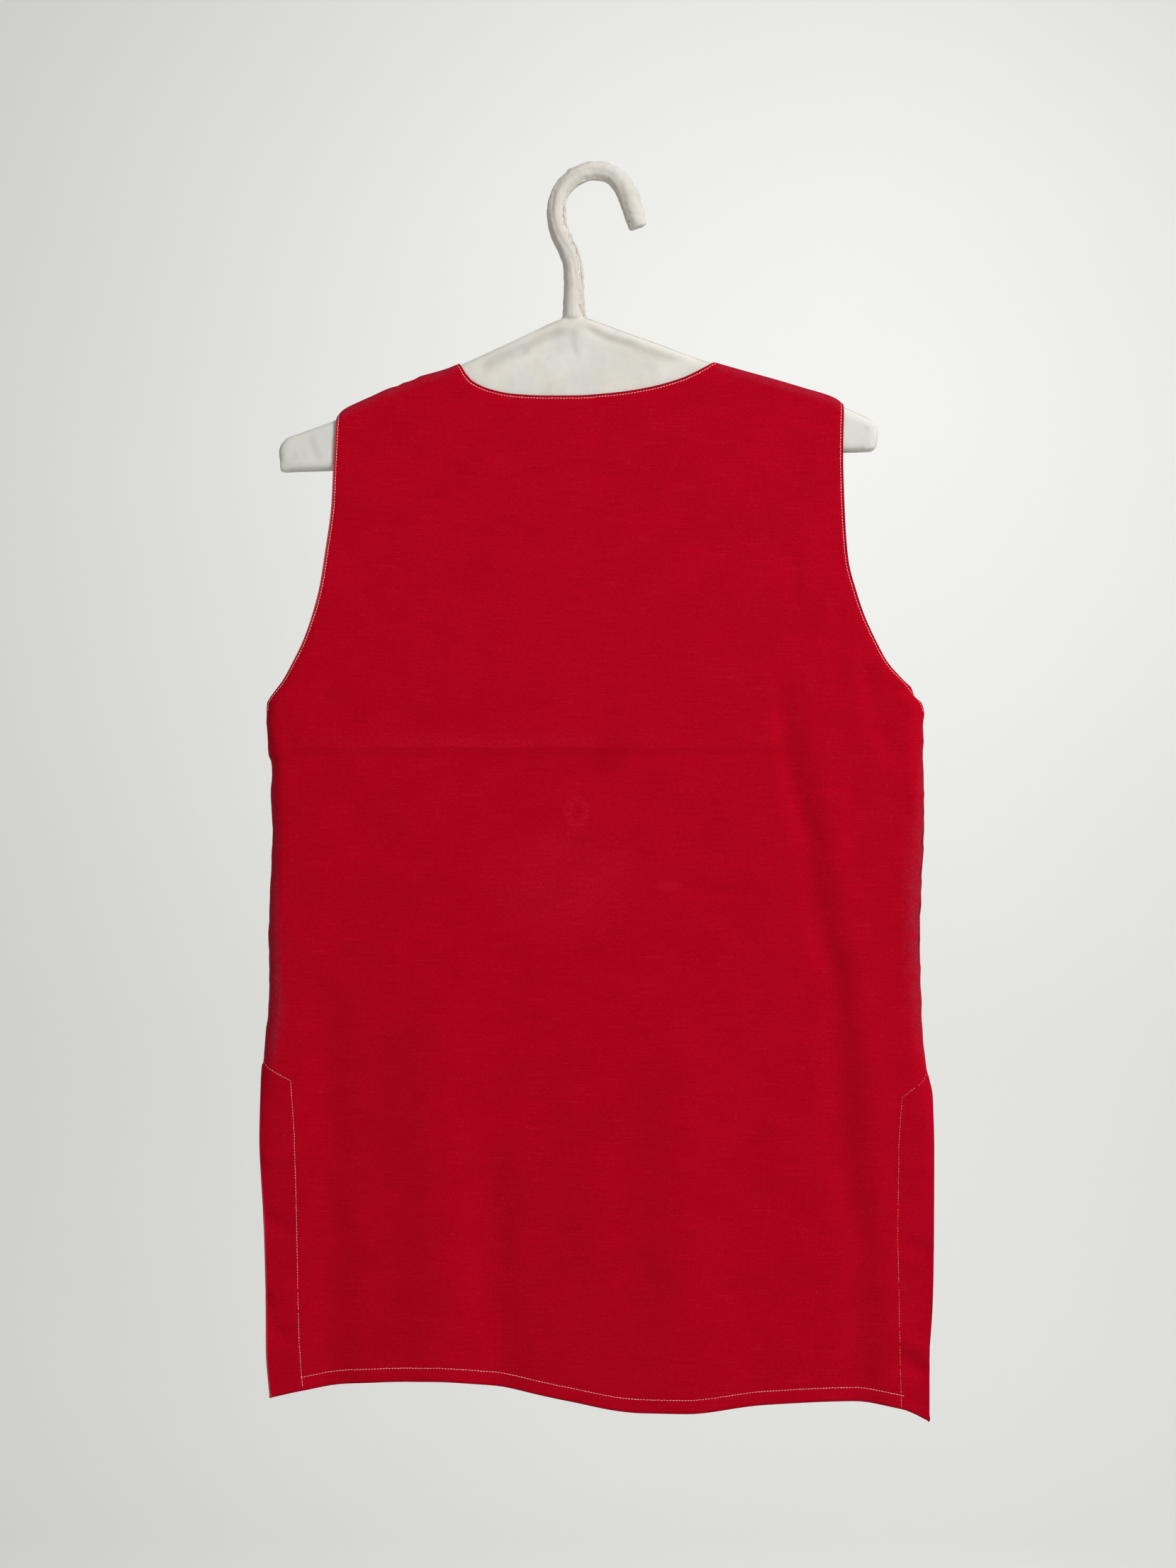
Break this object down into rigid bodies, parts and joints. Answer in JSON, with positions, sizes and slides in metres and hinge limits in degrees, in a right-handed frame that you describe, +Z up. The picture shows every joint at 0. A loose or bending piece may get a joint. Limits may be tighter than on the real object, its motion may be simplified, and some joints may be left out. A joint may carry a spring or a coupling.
{
  "type": "long vest on a cloth-covered hanger",
  "caption": "Long sleeveless vest of red cloth with a V neck, a buttoned front and open side slits, hung flat on a cloth-covered hanger with a covered hook.",
  "frame": {"origin": "the inside top of the hook, where it rests on whatever holds it up", "axes": "+Z up; the vest's back faces -Y and its fronts face +Y, so +X is the wearer's right"},
  "size_m": [0.4866, 0.0369, 0.908],
  "materials": {
    "red_cloth": "matte plain weave with small slubs",
    "slit_band_cloth": "matte plain weave, doubled",
    "button_plastic": "satin",
    "hanger_cover": "matte smooth cloth"
  },
  "bodies": {
    "root": {"back": "red_cloth", "front_left": "red_cloth", "front_right": "red_cloth", "slit_band_back_left": "slit_band_cloth", "slit_band_back_right": "slit_band_cloth", "slit_band_front_left": "slit_band_cloth", "slit_band_front_right": "slit_band_cloth", "button": "button_plastic", "hanger_body": "hanger_cover", "hanger_hook": "hanger_cover"}
  },
  "joints": []
}
